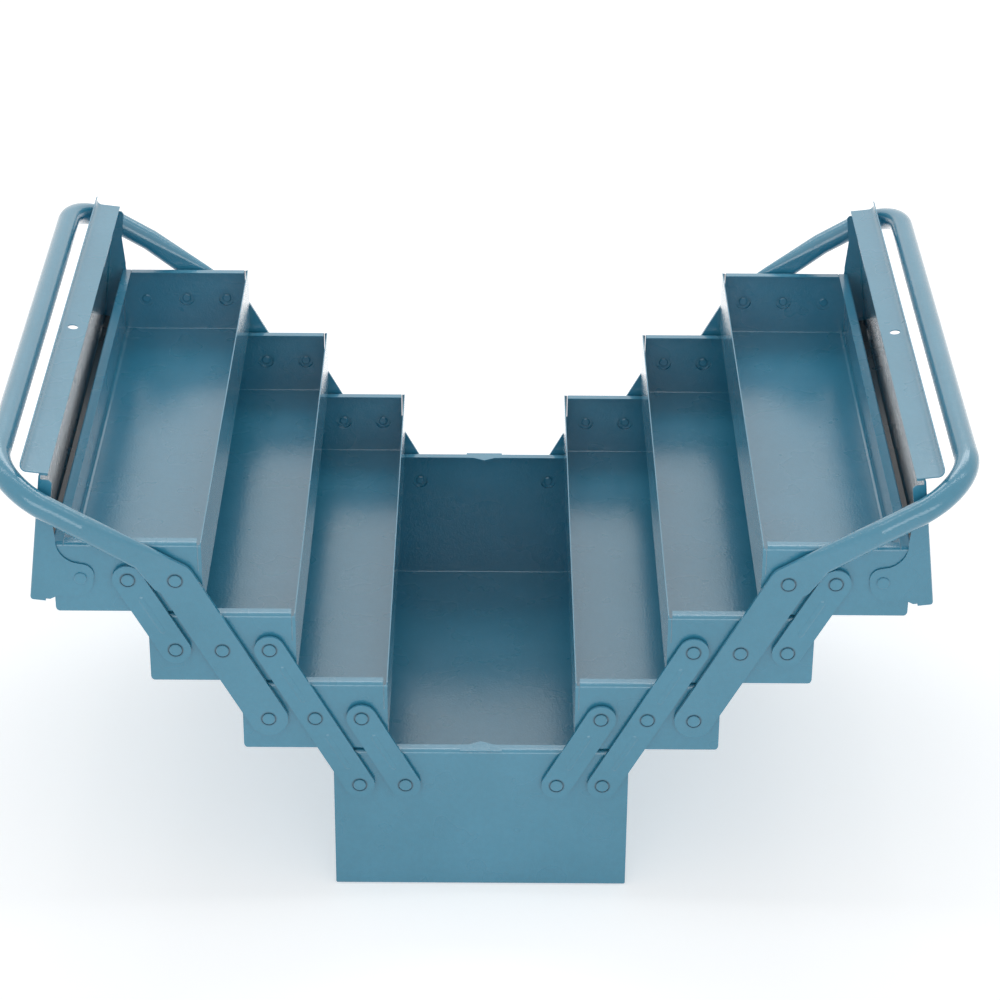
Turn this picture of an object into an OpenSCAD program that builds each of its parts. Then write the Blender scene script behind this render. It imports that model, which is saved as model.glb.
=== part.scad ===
// Cantilever tool box, seven compartments, shown fully open.
// Millimetres. X across the box, Y along it, Z up.
// Origin: middle of the underside of the base.
// The right side is drawn and mirrored for the left. The front end is -Y.

/* [Box] */
// Width of the base across the box
base_width = 220; // [200:1:240]
// Length of the base and of every tray
base_length = 472; // [380:1:520]
// Height of the base
base_height = 121; // [100:1:150]
// Height of every tray
tray_height = 57; // [50:1:64]
// Gap between the left and right trays when closed
centre_gap = 6; // [5:0.5:10]
// Gap between stacked trays when closed
stack_gap = 0.4; // [0.3:0.1:1]
// Thickness of the sheet steel
sheet = 0.8; // [0.7:0.1:1]
// Outer radius of the tray floor bends
tray_bend = 4.5; // [3:0.5:6]
// Outer radius of the base floor bends
base_bend = 2.5; // [2:0.5:4]
// Width of the folded rim on each end wall
rim_width = 8.8; // [7:0.2:10]
// Outer radius of the fold at the top of each end wall
rim_bend = 3.5; // [2.5:0.5:4.5]
// Width of the flange that the inner wall folds round each corner
corner_flange = 2.4; // [2:0.2:4]
// Width of the folded rim on the outer wall of the upper tray
side_rim_width = 8; // [6:0.5:9]
// Depth of the bulge in the middle of the base's end rims
rim_bulge = 4.5; // [2:0.5:6]

/* [Linkage] */
// Distance from a rim down to its row of pivots
pivot_drop = 28; // [26:0.5:32]
// Distance from the outer wall in to the first pivot
pivot_inset = 19.4; // [18:0.2:20]
// Gap between the left and right arms when closed
arm_gap = 15.9; // [12:0.1:20]
// Lean of the links away from upright when fully open, in degrees
open_lean = 28.6; // [15:0.1:30]
// Gap between neighbouring links when closed
link_gap = 3.9; // [3.5:0.1:5]
// Thickness of the flat links
link_thickness = 2; // [1.5:0.1:2.5]
// Diameter of the rivet shanks
rivet_diameter = 6; // [5:0.5:6.5]
// Diameter of the rivet tenons that pass through the walls
tenon_diameter = 3.8; // [3:0.1:3.8]
// Diameter of the rivet heads
rivet_head = 9.2; // [8.4:0.2:10]
// Depth of the recess round each head in the links and arms
recess_depth = 0.8; // [0.5:0.1:1]
// Gap round a head in its recess
recess_gap = 0.9; // [0.5:0.1:1.2]
// Radial clearance of a rivet in a link or a wall
pivot_clearance = 0.05; // [0.02:0.01:0.09]
// Clearance between faces that slide past each other
face_clearance = 0.1; // [0.05:0.05:0.15]

/* [Handle] */
// Outside diameter of the handle tube
tube_diameter = 18; // [16:0.5:19]
// Wall of the handle tube
tube_wall = 1.5; // [1.2:0.1:2]
// Gap between the two grips when closed
handle_gap = 8; // [6:1:14]
// Height of the grip's axis above the arm's top pivot when closed
handle_rise = 152; // [140:1:170]
// Radius of the handle bends
handle_bend = 45; // [38:1:48]
// Width of the flattened arms
arm_width = 28.5; // [26:0.5:29]
// Thickness of the flattened arms
arm_thickness = 2.8; // [2.6:0.1:3.2]

/* [Lid] */
// Opening angle of the lids, in degrees
lid_open_angle = 83; // [78:0.5:83.5]
// Clearance between the lid's roof and the tray's edge as it swings past
lid_clearance = 0.3; // [0.2:0.1:1]
// Gap between the lid's outer flange and the tray
lid_side_gap = 1.8; // [1.5:0.1:3]
// Depth of the lid's outer flange
lid_flange = 11.5; // [8:0.5:13]
// Depth of the lid's end plates where they meet the ears
lid_end_depth = 15; // [13:0.5:15]
// Depth of the lid's end plates towards the ridge strip
lid_tip_depth = 10; // [8:0.5:12]
// Gap between the lid's end plates and the ridge strip
lid_relief = 4; // [2:0.5:6]
// Gap between the two ridge strips when closed
lip_gap = 4; // [3:0.5:8]
// Height of the ridge strip above the roof
ridge_rise = 13.5; // [11:0.5:16]
// Diameter of the padlock hole in each ridge strip
padlock_hole = 8; // [6:0.5:8]

/* [Hidden] */
eps = 0.01;
half_length = base_length / 2;
tray_width = (base_width - centre_gap) / 2;
pivot_pitch = (base_width / 2 - pivot_inset - arm_width / 2 - arm_gap / 2) / 2;
tier_rise = tray_height + stack_gap;
link_pitch = sqrt(pivot_pitch * pivot_pitch + tier_rise * tier_rise);
closed_lean = atan(pivot_pitch / tier_rise);
link_width = 2 * (pivot_pitch * cos(closed_lean) - link_gap) - arm_width;
tier_run = pivot_pitch + link_pitch * sin(open_lean);
tier_lift = link_pitch * cos(open_lean);
base_pivot_z = base_height - pivot_drop;
end_bend = 1.8;
// Raised seats round the pivots
seat_height = 2;
seat_radius = 7.25;
lid_seat_height = 0.6;
// Layer of the links, outside the end walls
layer = seat_height + face_clearance;
rivet_radius = rivet_diameter / 2;
hole_radius = rivet_radius + pivot_clearance;
tenon_radius = tenon_diameter / 2;
tenon_hole = tenon_radius + pivot_clearance;
recess_radius = rivet_head / 2 + recess_gap;
seam = 0.5;
// Handle
tube_radius = tube_diameter / 2;
leg_out = layer + tube_radius + 0.9;
leg_offset = base_width / 2 - pivot_inset - 2 * pivot_pitch - handle_gap / 2 - tube_radius;
neck_width = arm_width - 0.4;
blend_low = 9;
blend_high = 80;
blend_part = 0.3;
// Lid, measured from its pivot
lid_plate_gap = lid_seat_height + face_clearance;
lid_half = half_length + lid_plate_gap + sheet;
lid_roof = norm([pivot_inset, pivot_drop]) + lid_clearance + sheet;
lid_outer = pivot_inset + lid_side_gap + sheet;
flare_high = lid_roof - lid_flange - 0.4;
ear_outer = pivot_inset - 3.4;
ear_inner = 11.6;
ear_radius = 9;
ear_corner = 14;
ear_low = ear_radius + 0.5;
ear_sweep = 18.4;
lip_radius = 5;
lip_flat = 2.5;
ridge_x = -(base_width / 2 - pivot_inset) + lip_gap / 2 + lip_radius + lip_flat - sheet;
ridge_low = pivot_drop + 0.5;
ridge_top = lid_roof + ridge_rise;
hole_z = (lid_roof + ridge_top - lip_radius) / 2;

paint = [0.20, 0.42, 0.52];
steel = [0.24, 0.46, 0.56];

// Pivot positions on the right side in the open pose

function pivot_x(tier, hole) = base_width / 2 - pivot_inset - hole * pivot_pitch + tier * tier_run;
function pivot_z(tier) = base_pivot_z + tier * tier_lift;

// Helpers

module on_left(left) {
    mirror([left ? 1 : 0, 0, 0]) children();
}

module both_ends() {
    children();
    mirror([0, 1, 0]) children();
}

// Outline in X and Z pushed along Y, middle at y = 0
module along_y(length) {
    rotate([90, 0, 0]) linear_extrude(length, center = true) children();
}

// Outline in Y and Z pushed along X from x = 0
module along_x(length) {
    rotate([90, 0, 90]) linear_extrude(length) children();
}

// Outline in X and Z made into a plate that grows outwards from the front plane at distance y
module front_plate(y, thickness) {
    translate([0, -y, 0]) rotate([90, 0, 0]) linear_extrude(thickness) children();
}

// Rectangle from x = 0 with rounded lower corners and upper corners, the far upper one by itself
module slab(w, h, low, high, far) {
    difference() {
        square([w, h]);
        for (m = [0, 1]) translate([m * w, 0]) mirror([m, 0]) {
            corner_cut(low);
            translate([0, h]) mirror([0, 1]) corner_cut(m == 0 ? high : far);
        }
    }
}

module corner_cut(r) {
    if (r > 0) difference() {
        translate([-1, -1]) square([r + 1, r + 1]);
        translate([r, r]) circle(r, $fn = 48);
    }
}

// Open pan with folded end rims, from x = 0 to w, and a folded rim on its outer wall if asked for
module pan(w, h, bend, side_rim) {
    side_bend = side_rim > 0 ? end_bend : 0;
    mouth = half_length - rim_width;
    difference() {
        pan_outline(w, h, bend, side_rim);
        intersection() {
            along_y(base_length) translate([sheet, sheet])
                slab(w - 2 * sheet, h - 2 * sheet, bend - sheet, 0, max(side_bend - sheet, 0));
            along_x(w) translate([-half_length + sheet, sheet])
                slab(base_length - 2 * sheet, h - 2 * sheet, end_bend - sheet,
                    rim_bend - sheet, rim_bend - sheet);
        }
        translate([sheet, -mouth, h - rim_bend])
            cube([w - sheet - max(side_rim, sheet), 2 * mouth, rim_bend + 1]);
    }
}

module pan_outline(w, h, bend, side_rim) {
    intersection() {
        along_y(base_length) slab(w, h, bend, 0, side_rim > 0 ? end_bend : 0);
        along_x(w) translate([-half_length, 0]) slab(base_length, h, end_bend, rim_bend, rim_bend);
    }
}

// Seat pressed out round one pivot on the front end wall
module seat_solid(x, z, rise) {
    translate([x, -half_length + eps, z]) rotate([90, 0, 0])
        cylinder(h = rise + eps, r1 = seat_radius + rise * 0.4, r2 = seat_radius, $fn = 40);
}

module seat_cut(x, z, rise) {
    translate([x, -half_length + sheet + 0.5, z]) rotate([90, 0, 0])
        cylinder(h = rise + 0.5, r = seat_radius - sheet, $fn = 40);
    translate([x, -half_length + 2, z]) rotate([90, 0, 0])
        cylinder(h = rise + 4, r = tenon_hole, $fn = 40);
}

// One rivet along -Y on the front end, from the seat's inner face outwards: upset tail, tenon
// through the wall, shoulder in the moving piece, flat head
module rivet(x, z, rise, grip, crown) {
    top = sheet + 2 * face_clearance + grip;
    head = rivet_head / 2;
    translate([x, -half_length + sheet - rise, z]) rotate([90, 0, 0])
        rotate_extrude($fn = 36) polygon([[0, -1.1], [2.9, -1.1], [3.7, -0.5], [3.7, 0],
            [tenon_radius, 0], [tenon_radius, sheet], [rivet_radius, sheet], [rivet_radius, top],
            [head, top], [head, top + crown - 0.5], [head - 0.6, top + crown], [0, top + crown]]);
}

// Recesses for the heads in the outer face of a link or arm of one thickness
module recesses(count, thickness) {
    for (i = [0 : count - 1])
        translate([0, -(half_length + layer + thickness - recess_depth), i * link_pitch])
            rotate([90, 0, 0]) cylinder(h = recess_depth + 1, r = recess_radius, $fn = 48);
}

// Flat stadium with pivots every link_pitch along Z from the origin
module stadium(count, width) {
    span = (count - 1) * link_pitch;
    difference() {
        union() {
            translate([-width / 2, 0]) square([width, span]);
            circle(width / 2, $fn = 64);
            translate([0, span]) circle(width / 2, $fn = 64);
        }
        for (i = [0 : count - 1]) translate([0, i * link_pitch]) circle(hole_radius, $fn = 40);
    }
}

// Long rib pressed out between two pivots
module rib(z) {
    intersection() {
        translate([0, -(half_length + layer + link_thickness) + 3.3, z]) {
            cylinder(h = 30, r = 4, $fn = 48);
            sphere(r = 4, $fn = 48);
            translate([0, 0, 30]) sphere(r = 4, $fn = 48);
        }
        translate([-5, -(half_length + layer + link_thickness + 2), z - 5])
            cube([10, 3, 40]);
    }
}

// Link with its lowest pivot at the origin, leaning out
module link(count) {
    rotate([0, open_lean, 0]) {
        difference() {
            front_plate(half_length + layer, link_thickness) stadium(count, link_width);
            recesses(count, link_thickness);
        }
        for (i = [0 : count - 2]) rib((i + 0.5) * link_pitch - 15);
    }
}

module link_at(tier, hole, count, rear, left) {
    color(paint) on_left(left) mirror([0, rear ? 1 : 0, 0])
        translate([pivot_x(tier, hole), 0, pivot_z(tier)]) link(count);
}

// Parts

module base_box() {
    color(paint) {
        difference() {
            union() {
                translate([-base_width / 2, 0, 0]) pan(base_width, base_height, base_bend, 0);
                both_ends() for (s = [-1, 1], h = [0, 1])
                    seat_solid(s * pivot_x(0, h), base_pivot_z, seat_height);
                both_ends() translate([0, -half_length + sheet / 2, base_height - sheet])
                    linear_extrude(sheet) polygon([[-15.5, 0], [-15.5, rim_width - sheet / 2],
                        [-9, rim_width], [0, rim_width + rim_bulge], [9, rim_width],
                        [15.5, rim_width - sheet / 2], [15.5, 0]]);
            }
            both_ends() for (s = [-1, 1], h = [0, 1])
                seat_cut(s * pivot_x(0, h), base_pivot_z, seat_height);
        }
    }
}

module base_rivets() {
    color(steel) both_ends() for (s = [-1, 1], h = [0, 1])
        rivet(s * pivot_x(0, h), base_pivot_z, seat_height, link_thickness - recess_depth, 1.6);
}

// Tray of one tier; the upper tray carries the lid instead of an arm on its first pivot
module tray(tier, left) {
    upper = tier == 3;
    outer = base_width / 2 + tier * tier_run;
    low = pivot_z(tier) + pivot_drop - tray_height;
    color(paint) on_left(left) difference() {
        union() {
            translate([outer - tray_width, 0, low])
                pan(tray_width, tray_height, tray_bend, upper ? side_rim_width : 0);
            both_ends() for (h = [0, 1, 2])
                seat_solid(pivot_x(tier, h), pivot_z(tier),
                    upper && h == 0 ? lid_seat_height : seat_height);
        }
        both_ends() for (h = [0, 1, 2])
            seat_cut(pivot_x(tier, h), pivot_z(tier),
                upper && h == 0 ? lid_seat_height : seat_height);
        // Open seam beside the inner wall's corner flange, which has no rim
        both_ends() translate([outer - tray_width + corner_flange, -half_length - 1,
            low + tray_height - 22]) cube([seam, rim_width + 2, 23]);
        both_ends() translate([outer - tray_width + sheet, -half_length + sheet,
            low + tray_height - rim_bend]) cube([corner_flange, rim_width, rim_bend + 1]);
        // Open seam where the upper tray's end rim meets its side rim
        if (upper) both_ends() translate([outer - side_rim_width - seam, -half_length - 1,
            low + tray_height - 2]) cube([seam, rim_width + 2, 3]);
    }
}

module tray_rivets(tier, left) {
    color(steel) on_left(left) both_ends() for (h = [0, 1, 2]) {
        lid_pivot = tier == 3 && h == 0;
        arm_pivot = h == tier - 1;
        rivet(pivot_x(tier, h), pivot_z(tier), lid_pivot ? lid_seat_height : seat_height,
            lid_pivot ? sheet : (arm_pivot ? arm_thickness : link_thickness) - recess_depth,
            lid_pivot ? 1.2 : 1.6);
    }
}

// Arms and grip, drawn from the arm's lowest pivot with the arm upright
module handle(left) {
    color(paint) on_left(left)
        translate([pivot_x(1, 0), 0, pivot_z(1)]) rotate([0, open_lean, 0]) {
            both_ends() {
                difference() {
                    front_plate(half_length + layer, arm_thickness) arm_outline();
                    recesses(3, arm_thickness);
                }
                translate([0, 0, 2 * link_pitch]) rotate([0, closed_lean, 0]) leg();
            }
            translate([0, 0, 2 * link_pitch]) rotate([0, closed_lean, 0])
                translate([-leg_offset, 0, handle_rise])
                along_y(2 * (half_length + leg_out - handle_bend)) tube_ring();
        }
}

// Flattened end of the tube, turned upright above its top pivot
module arm_outline() {
    span = 2 * link_pitch;
    difference() {
        union() {
            translate([-arm_width / 2, 0]) square([arm_width, span]);
            circle(arm_width / 2, $fn = 64);
            translate([0, span]) circle(arm_width / 2, $fn = 64);
            translate([0, span]) rotate(-closed_lean)
                translate([-neck_width / 2, 0]) square([neck_width, blend_low]);
        }
        for (i = [0 : 2]) translate([0, i * link_pitch]) circle(hole_radius, $fn = 40);
    }
}

module tube_ring() {
    difference() {
        circle(tube_radius, $fn = 48);
        circle(tube_radius - tube_wall, $fn = 48);
    }
}

// From the arm's top pivot up, upright when the box is closed
module leg() {
    mouth = half_length + leg_out;
    hull() {
        translate([-neck_width / 2, -half_length - layer - arm_thickness, blend_low - 0.5])
            cube([neck_width, arm_thickness, 0.5]);
        half_round();
    }
    hull() {
        half_round();
        translate([-leg_offset, -mouth, blend_high])
            cylinder(h = 0.6, r = tube_radius + 0.05, $fn = 48);
    }
    translate([-leg_offset, -mouth, blend_high])
        linear_extrude(handle_rise - handle_bend - blend_high) tube_ring();
    translate([-leg_offset, -mouth + handle_bend, handle_rise - handle_bend])
        rotate([0, -90, 0]) rotate([0, 0, -90]) rotate_extrude(angle = 90, $fn = 96)
        translate([handle_bend, 0]) tube_ring();
}

// Section part way up the leg's flattened end
module half_round() {
    z = blend_low + blend_part * (blend_high - blend_low);
    thick = arm_thickness + 0.32 * (tube_diameter - arm_thickness);
    wide = neck_width - 0.8 * (neck_width - tube_diameter);
    for (m = [-1, 1])
        translate([-0.65 * leg_offset + m * (wide - thick) / 2,
            -half_length - layer - 0.2 - thick / 2, z])
            cylinder(h = 0.3, r = thick / 2, $fn = 40);
}

// Lid drawn closed round its pivot, then swung open
module lid_pose(left) {
    on_left(left) translate([pivot_x(3, 0), 0, pivot_z(3)]) rotate([0, lid_open_angle, 0]) children();
}

module lid_shell() {
    inner = ridge_x + sheet;
    w = lid_outer - inner;
    h = lid_roof;
    difference() {
        intersection() {
            translate([inner, 0, 0]) along_y(2 * lid_half) slab(w, h, 0, 2.5, 2.5);
            translate([inner, 0, 0]) along_x(w) translate([-lid_half, 0])
                slab(2 * lid_half, h, 0, end_bend, end_bend);
        }
        intersection() {
            translate([inner + sheet, 0, -1]) along_y(2 * lid_half)
                slab(w - 2 * sheet, h - sheet + 1, 0, 2.5 - sheet, 2.5 - sheet);
            translate([inner, 0, -1]) along_x(w) translate([-lid_half + sheet, 0])
                slab(2 * (lid_half - sheet), h - sheet + 1, 0, end_bend - sheet, end_bend - sheet);
        }
        // Lower edges of the long flanges
        translate([inner - 1, -lid_half + sheet, -1])
            cube([sheet + 2, 2 * (lid_half - sheet), ridge_low + 1]);
        translate([lid_outer - sheet - 1, -lid_half - 1, -1])
            cube([sheet + 2, 2 * lid_half + 2, lid_roof - lid_flange + 1]);
        // Lower edge of the end plates, with a clear way round the ears
        both_ends() translate([0, -lid_half + sheet + 0.2, 0]) rotate([90, 0, 0])
            linear_extrude(sheet + 1) difference() {
                below_plate(inner - 1, lid_outer + 1);
                ear();
            }
        both_ends() translate([0, -lid_half + sheet + 0.2, 0]) rotate([90, 0, 0])
            linear_extrude(sheet + 1) polygon([[ear_outer, -1], [ear_outer, 11],
                [ear_outer + 1.2, 16], [lid_outer, flare_high], [lid_outer + 1, flare_high],
                [lid_outer + 1, -1]]);
    }
}

// What is cut away below the end plates: level under the ears, then rising to the tip depth, and
// up to the roof's fold beside the ridge strip
module below_plate(left, right) {
    low = lid_roof - lid_end_depth;
    high = lid_roof - lid_tip_depth;
    rise_x = -ear_inner - ear_sweep;
    tip_x = ridge_x + sheet + lid_relief;
    polygon([[left, -1], [right, -1], [right, low], [rise_x, low], [rise_x - 23, high],
        [tip_x + 2, high], [tip_x, high + 2], [tip_x, lid_roof - end_bend],
        [left, lid_roof - end_bend]]);
}

// Ear of the end plate that hangs round the lid pivot
module ear() {
    difference() {
        union() {
            translate([-ear_inner, ear_corner - ear_low]) square([ear_inner + ear_outer, 30]);
            translate([-ear_inner, ear_radius - ear_low]) square([ear_inner, 30]);
            translate([ear_radius - ear_inner, ear_radius - ear_low]) circle(ear_radius, $fn = 64);
            translate([ear_outer - ear_corner, ear_corner - ear_low]) circle(ear_corner, $fn = 96);
            translate([ear_radius - ear_inner, -ear_low])
                square([ear_inner + ear_outer - ear_radius - ear_corner, 20]);
            // Flare from the ear to the outer flange
            polygon([[0, 8], [ear_outer, 11], [ear_outer + 1.2, 16], [lid_outer, flare_high],
                [lid_outer, 40], [0, 40]]);
            // Sweep from the ear into the plate's lower edge
            translate([-ear_inner - ear_sweep, lid_roof - lid_end_depth - ear_sweep]) difference() {
                square([ear_sweep + 0.1, ear_sweep + 0.1]);
                circle(ear_sweep, $fn = 96);
            }
        }
        circle(hole_radius, $fn = 40);
    }
}

module lid(left) {
    color(paint) lid_pose(left) {
        lid_shell();
        both_ends() front_plate(half_length + lid_plate_gap, sheet) difference() {
            ear();
            translate([-40, lid_roof - lid_end_depth + 0.1]) square([80, 40]);
        }
    }
}

// Raised strip along the lid's inner edge, curled over at the top
module lid_ridge(left) {
    color(paint) lid_pose(left) difference() {
        along_y(base_length) {
            translate([ridge_x, ridge_low]) square([sheet, ridge_top - lip_radius - ridge_low]);
            translate([ridge_x + sheet - lip_radius, ridge_top - lip_radius]) intersection() {
                difference() {
                    circle(lip_radius, $fn = 64);
                    circle(lip_radius - sheet, $fn = 64);
                }
                square([lip_radius, lip_radius]);
            }
            translate([ridge_x + sheet - lip_radius - lip_flat, ridge_top - sheet])
                square([lip_flat + eps, sheet]);
        }
        translate([ridge_x - 1, 0, hole_z]) rotate([0, 90, 0])
            cylinder(h = sheet + 2, r = padlock_hole / 2, $fn = 48);
    }
}

base_box();
base_rivets();
tray(1, true);  // tray_lower_left
tray_rivets(1, true);  // tray_lower_left_rivets
tray(1, false);  // tray_lower_right
tray_rivets(1, false);  // tray_lower_right_rivets
tray(2, true);  // tray_middle_left
tray_rivets(2, true);  // tray_middle_left_rivets
tray(2, false);  // tray_middle_right
tray_rivets(2, false);  // tray_middle_right_rivets
tray(3, true);  // tray_upper_left
tray_rivets(3, true);  // tray_upper_left_rivets
tray(3, false);  // tray_upper_right
tray_rivets(3, false);  // tray_upper_right_rivets
link_at(0, 0, 3, false, true);  // long_link_front_left
link_at(0, 0, 3, true, true);  // long_link_rear_left
link_at(0, 0, 3, false, false);  // long_link_front_right
link_at(0, 0, 3, true, false);  // long_link_rear_right
link_at(0, 1, 2, false, true);  // lower_link_front_left
link_at(0, 1, 2, true, true);  // lower_link_rear_left
link_at(0, 1, 2, false, false);  // lower_link_front_right
link_at(0, 1, 2, true, false);  // lower_link_rear_right
link_at(2, 0, 2, false, true);  // upper_link_front_left
link_at(2, 0, 2, true, true);  // upper_link_rear_left
link_at(2, 0, 2, false, false);  // upper_link_front_right
link_at(2, 0, 2, true, false);  // upper_link_rear_right
handle(true);  // handle_left
handle(false);  // handle_right
lid(true);  // lid_left
lid_ridge(true);  // lid_ridge_left
lid(false);  // lid_right
lid_ridge(false);  // lid_ridge_right
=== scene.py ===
"""Looks of the cantilever tool box: enamel finishes, small surface details, light and camera."""
import math

import bmesh
import bpy
from mathutils import Matrix, Vector


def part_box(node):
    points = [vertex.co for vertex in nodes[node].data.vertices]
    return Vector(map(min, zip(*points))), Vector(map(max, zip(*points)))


MM = 0.001

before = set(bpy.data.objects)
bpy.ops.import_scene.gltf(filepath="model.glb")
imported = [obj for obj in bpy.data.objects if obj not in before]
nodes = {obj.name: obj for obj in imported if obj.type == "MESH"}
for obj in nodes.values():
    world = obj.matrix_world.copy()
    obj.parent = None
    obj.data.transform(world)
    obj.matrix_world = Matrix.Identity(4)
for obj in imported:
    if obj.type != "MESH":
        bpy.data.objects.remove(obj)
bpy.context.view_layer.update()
scene = bpy.context.scene


# ---------------------------------------------------------------- camera

FOCAL_PX, PICTURE_PX = 3078.68, 1000
SENSOR_MM = 36
CAMERA_MM = Vector((6.24, -2150.88, 1392.18))
PITCH, YAW, ROLL = 0.5046, -0.0033, 0.0078      # radians
FARTHEST = 50                                   # metres


def make_camera():
    """The photograph's camera, fitted to the rivet centres."""
    place = CAMERA_MM * MM
    across = Vector((math.cos(YAW), math.sin(YAW), 0))
    ahead = Vector((-math.sin(YAW), math.cos(YAW), 0))
    down = Vector((0, 0, -1))
    look = ahead * math.cos(PITCH) + down * math.sin(PITCH)
    lift = ahead * math.sin(PITCH) - down * math.cos(PITCH)
    right = across * math.cos(ROLL) + lift * math.sin(ROLL)
    up = lift * math.cos(ROLL) - across * math.sin(ROLL)
    data = bpy.data.cameras.new("camera")
    data.sensor_fit = "HORIZONTAL"
    data.sensor_width = SENSOR_MM
    data.lens = FOCAL_PX * SENSOR_MM / PICTURE_PX
    data.clip_end = FARTHEST
    cam = bpy.data.objects.new("camera", data)
    scene.collection.objects.link(cam)
    rows = [[right[i], up[i], -look[i], place[i]] for i in range(3)]
    cam.matrix_world = Matrix(rows + [[0, 0, 0, 1]])
    scene.camera = cam


make_camera()
scene.view_settings.view_transform = "Standard"


# ---------------------------------------------------------------- node helpers

MIX_FACTOR, MIX_A, MIX_B, MIX_RESULT = 0, 6, 7, 2    # the Mix node's colour sockets


def add(tree, kind, **inputs):
    """A new node. Each value goes to the input of that name, or else to the property."""
    node = tree.nodes.new(kind)
    for key, value in inputs.items():
        if key in node.inputs:
            node.inputs[key].default_value = value
        else:
            setattr(node, key, value)
    return node


def join(tree, out_node, out_name, in_node, in_name):
    tree.links.new(out_node.outputs[out_name], in_node.inputs[in_name])


def noise(tree, coords, scale, detail, rough):
    """A noise texture in object coordinates; scale is in features per metre."""
    node = add(tree, "ShaderNodeTexNoise", Scale=scale, Detail=detail, Roughness=rough)
    join(tree, coords, "Object", node, "Vector")
    return node


def ramp(tree, source, out_name, stops):
    """A colour ramp; a stop is a place with a colour or with a grey level."""
    node = tree.nodes.new("ShaderNodeValToRGB")
    for element, (at, value) in zip(node.color_ramp.elements, stops):
        element.position = at
        element.color = value if isinstance(value, tuple) else (value, value, value, 1)
    join(tree, source, out_name, node, "Fac")
    return node


def span(tree, source, out_name, low, high):
    """Maps 0..1 to low..high."""
    node = add(tree, "ShaderNodeMapRange")
    node.inputs["To Min"].default_value = low
    node.inputs["To Max"].default_value = high
    join(tree, source, out_name, node, "Value")
    return node


def fade(tree, value, none_at, full_at):
    """A smooth step from 0 to 1 between two values, either of which may be the larger."""
    node = add(tree, "ShaderNodeMapRange", clamp=True)
    node.interpolation_type = "SMOOTHSTEP"
    node.inputs["From Min"].default_value = none_at
    node.inputs["From Max"].default_value = full_at
    tree.links.new(value, node.inputs["Value"])
    return node.outputs["Result"]


def maths(tree, operation, first, second=None):
    """The result of a Math node; second is another node's output or a number."""
    node = add(tree, "ShaderNodeMath", operation=operation)
    tree.links.new(first, node.inputs[0])
    if isinstance(second, (int, float)):
        node.inputs[1].default_value = second
    elif second is not None:
        tree.links.new(second, node.inputs[1])
    return node.outputs[0]


def axes_of(tree, coords, kind):
    """The X, Y and Z outputs of the object coordinates or of the object's normal."""
    node = tree.nodes.new("ShaderNodeSeparateXYZ")
    join(tree, coords, kind, node, "Vector")
    return node.outputs


def tint(tree, factor, paint, colour, blend):
    """Lays one colour over the paint where factor says."""
    node = add(tree, "ShaderNodeMix", data_type="RGBA", blend_type=blend)
    node.inputs[MIX_B].default_value = colour
    tree.links.new(factor, node.inputs[MIX_FACTOR])
    tree.links.new(paint, node.inputs[MIX_A])
    return node.outputs[MIX_RESULT]


def bump(tree, source, out_name, strength, depth, below=None):
    """A bump of the given depth in metres, on top of the bump below."""
    node = add(tree, "ShaderNodeBump", Strength=strength, Distance=depth)
    join(tree, source, out_name, node, "Height")
    if below is not None:
        join(tree, below, "Normal", node, "Normal")
    return node


# ---------------------------------------------------------------- materials

ENAMEL = (0.041, 0.275, 0.418)
DARKER = (0.85, 0.94, 0.94)         # the slow drift's two ends, as shares of the enamel
LIGHTER = (1.2, 1.06, 1.05)
LID_CREVICE_SHADE = (0.020, 0.022, 0.022, 1)    # painted shade, nearly black, in the crevice inside the lids' outer flange
RIVET_RECESS_SHADE = (0.42, 0.48, 0.5, 1)         # painted shade: multiplies the paint in the recess round the rivets

# The shader's fixed settings: gloss enamel under a clear coat.
PAINT = {
    "Metallic": 0.0,
    "IOR": 1.55,
    "Coat Weight": 1.0,
    "Coat Roughness": 0.07,
    "Coat IOR": 1.5,
}


def shade(share):
    """The enamel's colour times a share of each channel."""
    return tuple(level * part for level, part in zip(ENAMEL, share)) + (1,)


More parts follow.
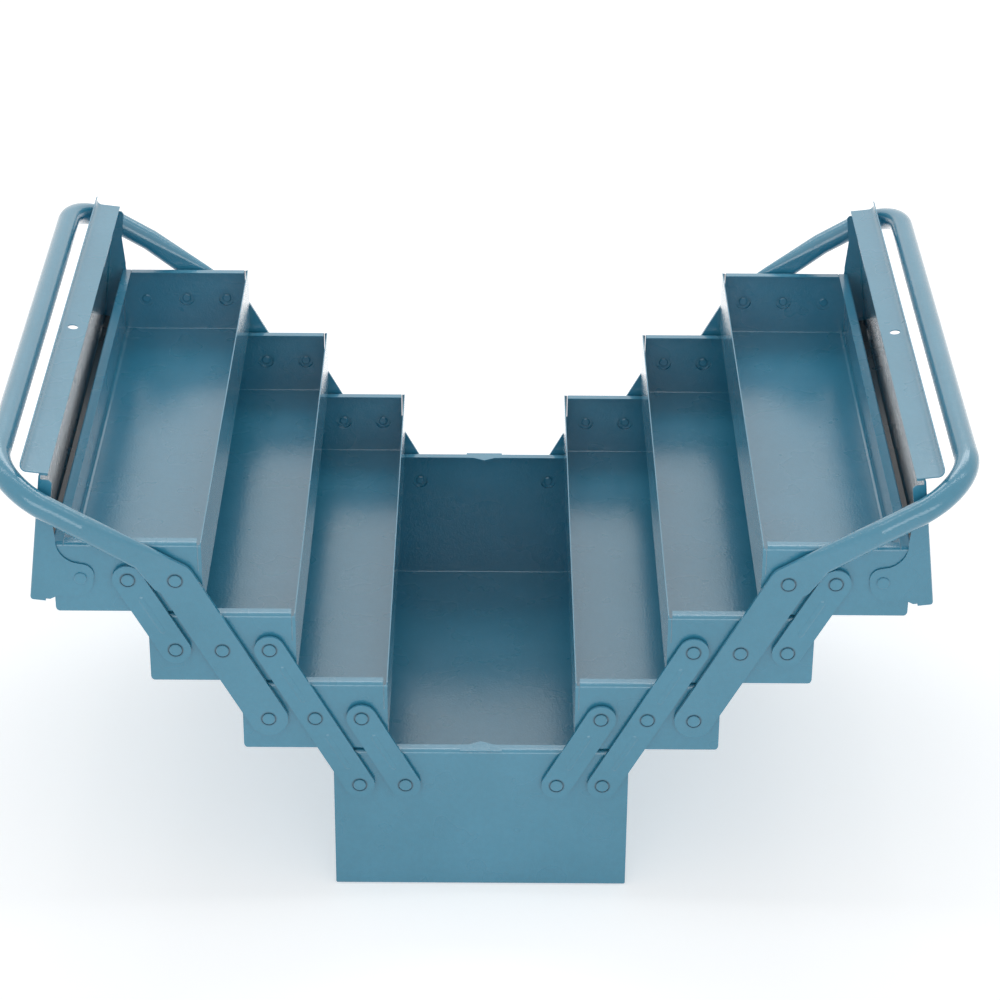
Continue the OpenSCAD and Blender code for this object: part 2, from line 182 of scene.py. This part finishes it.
def enamel(name, rough=(0.24, 0.32), peel=0.55, painted_shade=None):
    """Sprayed gloss enamel on sheet steel: slow colour drift, orange peel, dust nibs, and painted
    shade where a finish is given one.
    """
    mat = bpy.data.materials.new(name)
    mat.use_nodes = True
    tree = mat.node_tree
    shader = tree.nodes["Principled BSDF"]
    coords = tree.nodes.new("ShaderNodeTexCoord")

    drift = noise(tree, coords, scale=14, detail=3, rough=0.55)
    fine = noise(tree, coords, scale=260, detail=2, rough=0.5)
    colour = ramp(tree, drift, "Fac", [(0.3, shade(DARKER)), (0.7, shade(LIGHTER))])
    grey = ramp(tree, fine, "Fac", [(0.35, 0.84), (0.65, 1.0)])
    grain = add(tree, "ShaderNodeMix", data_type="RGBA", blend_type="MULTIPLY")
    grain.inputs[MIX_FACTOR].default_value = 0.3
    tree.links.new(colour.outputs["Color"], grain.inputs[MIX_A])
    tree.links.new(grey.outputs["Color"], grain.inputs[MIX_B])
    paint = grain.outputs[MIX_RESULT]
    # painted shade, where the finish has it, goes over the paint
    if painted_shade:
        paint = painted_shade(tree, coords, paint)
    tree.links.new(paint, shader.inputs["Base Color"])

    wet = noise(tree, coords, scale=26, detail=2, rough=0.5)
    gloss = span(tree, wet, "Fac", rough[0], rough[1])
    join(tree, gloss, "Result", shader, "Roughness")

    waves = noise(tree, coords, scale=60, detail=1, rough=0.4)
    skin = noise(tree, coords, scale=640, detail=2, rough=0.5)
    specks = add(tree, "ShaderNodeTexVoronoi", Scale=110.0)
    join(tree, coords, "Object", specks, "Vector")
    nibs = ramp(tree, specks, "Distance", [(0.0, 1.0), (0.06, 0.0)])
    relief = bump(tree, waves, "Fac", strength=0.2, depth=0.0004)
    relief = bump(tree, skin, "Fac", strength=peel, depth=0.00025, below=relief)
    relief = bump(tree, nibs, "Color", strength=0.15, depth=0.0002, below=relief)
    join(tree, relief, "Normal", shader, "Normal")
    join(tree, relief, "Normal", shader, "Coat Normal")

    for socket, value in PAINT.items():
        shader.inputs[socket].default_value = value
    return mat


def lid_crevice_shade(tree, coords, paint):
    """Painted shade on the upward faces inside the lid's outer flange, which lies lowest when the
    box is open.
    """
    none_above, full_below = 0.009, 0.0035      # metres over the lid's lowest point
    facing_up = 0.3                             # least Z of a normal that counts as upward
    end_gap = 0.0005                            # kept clear of the ears by the tray's ends
    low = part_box("lid_right")[0][2]
    axes = axes_of(tree, coords, "Object")
    level = fade(tree, axes["Z"], low + none_above, low + full_below)
    normal = axes_of(tree, coords, "Normal")
    upper = maths(tree, "GREATER_THAN", normal["Z"], facing_up)
    along = maths(tree, "ABSOLUTE", axes["Y"])
    inside = maths(tree, "LESS_THAN", along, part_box("tray_upper_right")[1][1] - end_gap)
    flange = maths(tree, "MULTIPLY", level, inside)
    where = maths(tree, "MULTIPLY", flange, upper)
    # lays the painted shade over the paint
    return tint(tree, where, paint, LID_CREVICE_SHADE, "MIX")


def loose_parts(obj):
    """The places of the vertices of each connected part of a mesh, one list for each part."""
    mesh = bmesh.new()
    mesh.from_mesh(obj.data)
    left = set(mesh.verts)
    while left:
        part, edge = [], [left.pop()]
        while edge:
            vert = edge.pop()
            part.append(vert.co.copy())
            for link in vert.link_edges:
                other = link.other_vert(vert)
                if other in left:
                    left.discard(other)
                    edge.append(other)
        yield part
    mesh.free()


def rivet_centres():
    """(x, z) of each rivet of the right-hand side, from the loose parts of the rivet nodes."""
    found = set()
    for name, obj in nodes.items():
        if "rivets" not in name or "left" in name:
            continue
        for part in loose_parts(obj):
            xs, zs = [co.x for co in part], [co.z for co in part]
            x, z = (min(xs) + max(xs)) / 2, (min(zs) + max(zs)) / 2
            if x > 0:
                found.add((round(x, 4), round(z, 4)))
    return sorted(found)


def rivet_recess_shade(tree, coords, paint):
    """Painted shade in the recess round each rivet head, mirrored to both sides."""
    none_beyond, full_within = 0.0068, 0.0050   # metres from the rivet's centre
    axes = axes_of(tree, coords, "Object")
    flat = tree.nodes.new("ShaderNodeCombineXYZ")
    tree.links.new(maths(tree, "ABSOLUTE", axes["X"]), flat.inputs["X"])
    tree.links.new(axes["Z"], flat.inputs["Z"])
    near = None
    for x, z in rivet_centres():
        away = add(tree, "ShaderNodeVectorMath", operation="DISTANCE")
        away.inputs[1].default_value = (x, 0, z)
        tree.links.new(flat.outputs["Vector"], away.inputs[0])
        distance = away.outputs["Value"]
        near = distance if near is None else maths(tree, "MINIMUM", near, distance)
    ring = fade(tree, near, none_beyond, full_within)
    # multiplies the paint by the painted shade inside the ring
    return tint(tree, ring, paint, RIVET_RECESS_SHADE, "MULTIPLY")


# The lids carry painted shade in the flange crevice; the links and handles carry it round the
# rivets.
FINISH = {
    "base": enamel("enamel_base"),
    "trays": enamel("enamel_trays"),
    "lids": enamel("enamel_lids", painted_shade=lid_crevice_shade),
    "links": enamel("enamel_links", rough=(0.28, 0.36), painted_shade=rivet_recess_shade),
    "rivets": enamel("enamel_rivets", rough=(0.28, 0.36), peel=0.25),
    "handles": enamel("enamel_handles", rough=(0.2, 0.28), peel=0.6, painted_shade=rivet_recess_shade),
}


def slot_of(name):
    """Which finish a node gets. Rivets come first, as their names hold a tray's or the base's."""
    if "rivets" in name:
        return "rivets"
    if "link" in name:
        return "links"
    if "handle" in name:
        return "handles"
    if name.startswith("lid"):
        return "lids"
    return "base" if name.startswith("base") else "trays"


for name, obj in nodes.items():
    obj.data.materials.clear()
    obj.data.materials.append(FINISH[slot_of(name)])


# ---------------------------------------------------------------- floor and light

FLOOR_HALF = 6.0                    # metres
FLOOR_DROP = 0.0005                 # keeps the floor clear of the box's underside
PAPER = (0.88, 0.88, 0.88, 1)
WHITE = (1, 1, 1, 1)
DAYLIGHT = (0.97, 0.985, 1.0, 1)


def by_ray(tree, unseen, seen):
    """Takes the second shader for camera and glossy rays, and the first for all others."""
    path = tree.nodes.new("ShaderNodeLightPath")
    rays = path.outputs
    either = maths(tree, "MAXIMUM", rays["Is Camera Ray"], rays["Is Glossy Ray"])
    pick = tree.nodes.new("ShaderNodeMixShader")
    tree.links.new(either, pick.inputs[0])
    tree.links.new(unseen.outputs[0], pick.inputs[1])
    tree.links.new(seen.outputs[0], pick.inputs[2])
    return pick


def make_floor():
    """White paper that keeps the object's shadow."""
    mesh = bpy.data.meshes.new("floor")
    corners = [(-1, -1), (1, -1), (1, 1), (-1, 1)]
    places = [(x * FLOOR_HALF, y * FLOOR_HALF, 0) for x, y in corners]
    mesh.from_pydata(places, [], [(0, 1, 2, 3)])
    floor = bpy.data.objects.new("floor", mesh)
    floor.location.z = -FLOOR_DROP
    scene.collection.objects.link(floor)
    mat = bpy.data.materials.new("floor")
    mat.use_nodes = True
    tree = mat.node_tree
    tree.nodes.clear()
    out = tree.nodes.new("ShaderNodeOutputMaterial")
    paper = add(tree, "ShaderNodeBsdfDiffuse", Color=PAPER)
    glow = add(tree, "ShaderNodeEmission", Color=WHITE, Strength=0.45)
    both = tree.nodes.new("ShaderNodeAddShader")
    tree.links.new(paper.outputs[0], both.inputs[0])
    tree.links.new(glow.outputs[0], both.inputs[1])
    pick = by_ray(tree, paper, both)
    tree.links.new(pick.outputs[0], out.inputs["Surface"])
    mesh.materials.append(mat)


def make_world():
    """A white backdrop to the eye, and a weaker, slightly cool light on the object."""
    world = bpy.data.worlds.new("world")
    scene.world = world
    world.use_nodes = True
    tree = world.node_tree
    tree.nodes.clear()
    out = tree.nodes.new("ShaderNodeOutputWorld")
    shown = add(tree, "ShaderNodeBackground", Color=WHITE, Strength=1.0)
    light = add(tree, "ShaderNodeBackground", Color=DAYLIGHT, Strength=0.53)
    pick = by_ray(tree, light, shown)
    tree.links.new(pick.outputs[0], out.inputs["Surface"])


def area_lamp(name, place, aim, size, watts):
    data = bpy.data.lights.new(name, "AREA")
    data.shape = "RECTANGLE"
    data.size, data.size_y = size
    data.energy = watts
    lamp = bpy.data.objects.new(name, data)
    scene.collection.objects.link(lamp)
    lamp.location = place
    way = Vector(aim) - Vector(place)
    lamp.rotation_euler = way.to_track_quat("-Z", "Y").to_euler()


make_floor()
make_world()
area_lamp("strip", place=(0, -0.05, 2.2), aim=(0, -0.05, 0), size=(4.4, 0.12), watts=6)
area_lamp("key", place=(0, 1.5, 2.05), aim=(0, 0, 0.2), size=(2.2, 0.9), watts=14)
area_lamp("fill", place=(0, -2.9, 1.15), aim=(0, 0, 0.2), size=(3.0, 1.0), watts=17)
